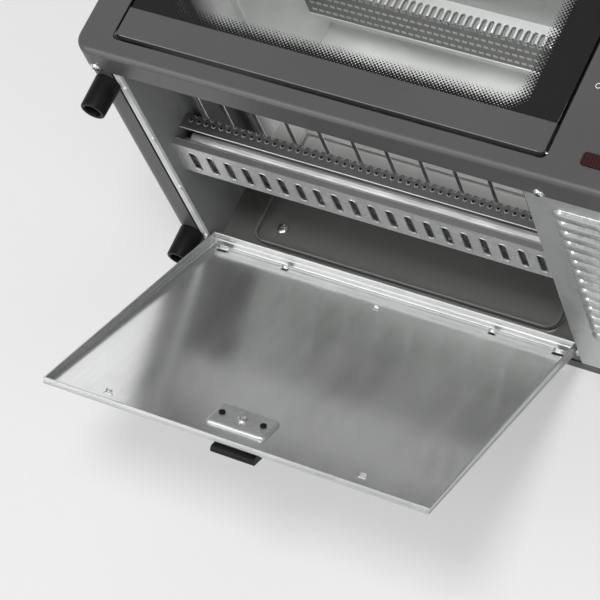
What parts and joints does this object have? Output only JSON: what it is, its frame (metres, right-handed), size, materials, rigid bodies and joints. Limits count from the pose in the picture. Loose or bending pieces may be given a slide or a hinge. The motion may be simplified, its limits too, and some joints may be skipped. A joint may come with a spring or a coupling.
{
  "type": "countertop oven",
  "caption": "Countertop oven lying on its back, its hinged underside crumb hatch hanging open, with glass door, wire rack, heaters, louvred panel and knobs.",
  "frame": {"origin": "centre of the flat rear face, which the oven lies on", "axes": "+Z out of the oven's front, +Y towards its top, +X from its left side to its right side"},
  "size_m": [0.468, 0.4662, 0.341],
  "materials": {
    "paint": "satin grey enamel",
    "galvanised": "galvanised sheet, satin",
    "bright_steel": "bright aluminised sheet",
    "chrome": "polished",
    "black_plastic": "matte",
    "enamel_black": "satin black",
    "glass": "dark polished",
    "ceramic": "glazed ceramic",
    "phenolic": "moulded",
    "red_lens": "gloss",
    "lamp": "gloss"
  },
  "bodies": {
    "oven_body": {"outer_casing": "paint", "rear_cover": "paint", "rear_cover_screws": "galvanised", "cord_bush": "black_plastic", "front_bezel": "paint", "bezel_screws": "chrome", "front_frame": "galvanised", "cavity_left_wall": "galvanised", "cavity_right_wall": "galvanised", "cavity_ceiling": "galvanised", "cavity_back_wall": "galvanised", "back_wall_screw": "chrome", "bottom_louvre_panel": "galvanised", "slotted_heater_strip": "galvanised", "lower_heater_guard": "bright_steel", "lower_heater_reflector": "bright_steel", "lower_heater_tube": "bright_steel", "lower_heater_brackets": "galvanised", "upper_heater_guard": "bright_steel", "upper_heater_tube": "bright_steel", "upper_heater_brackets": "galvanised", "heater_terminals": "ceramic", "hatch_hinge_bracket_left": "galvanised", "hatch_hinge_bracket_right": "galvanised", "hatch_hinge_pins": "chrome", "foot_front_left": "black_plastic", "foot_front_right": "black_plastic", "foot_rear_left": "black_plastic", "foot_rear_right": "black_plastic", "foot_screws": "galvanised", "thermostat_body": "phenolic", "timer_body": "galvanised", "indicator_lens": "red_lens", "indicator_lamp": "lamp"},
    "door": {"door_inner_frame": "enamel_black", "door_lower_trim": "paint", "door_upper_trim": "paint", "door_glass": "glass", "door_handle_bar": "chrome", "door_handle_posts": "chrome", "door_hinge_pins": "chrome"},
    "crumb_hatch": {"hatch_panel": "galvanised", "hatch_latch_plate": "galvanised", "hatch_grip": "black_plastic", "hatch_grip_screw": "chrome", "hatch_grip_studs": "black_plastic"},
    "rack": {"wire_rack": "chrome"},
    "temperature_dial": {"temperature_knob": "black_plastic", "temperature_shaft": "galvanised"},
    "timer_dial": {"timer_knob": "black_plastic", "timer_shaft": "galvanised"}
  },
  "joints": [
    {"name": "hatch_hinge", "type": "hinge", "parent": "oven_body", "child": "crumb_hatch", "pos_m": [0, -0.12324, 0.02575], "axis": [1, 0, 0], "range_deg": [-55.9, 0]},
    {"name": "door_hinge", "type": "hinge", "parent": "oven_body", "child": "door", "pos_m": [0, -0.1035, 0.3005], "axis": [1, 0, 0], "range_deg": [0, 90]},
    {"name": "rack_slide", "type": "slide", "parent": "oven_body", "child": "rack", "axis": [0, 0, 1], "range_m": [0, 0.055]},
    {"name": "temperature_turn", "type": "hinge", "parent": "oven_body", "child": "temperature_dial", "pos_m": [0.1865, -0.023, 0.305], "axis": [0, 0, -1], "range_deg": [0, 270]},
    {"name": "timer_turn", "type": "hinge", "parent": "oven_body", "child": "timer_dial", "pos_m": [0.1865, 0.063, 0.305], "axis": [0, 0, -1], "range_deg": [0, 300]}
  ],
  "couplings": [
    {"joint": "rack_slide", "follows": "door_hinge", "m_per_rad": 0.035}
  ]
}
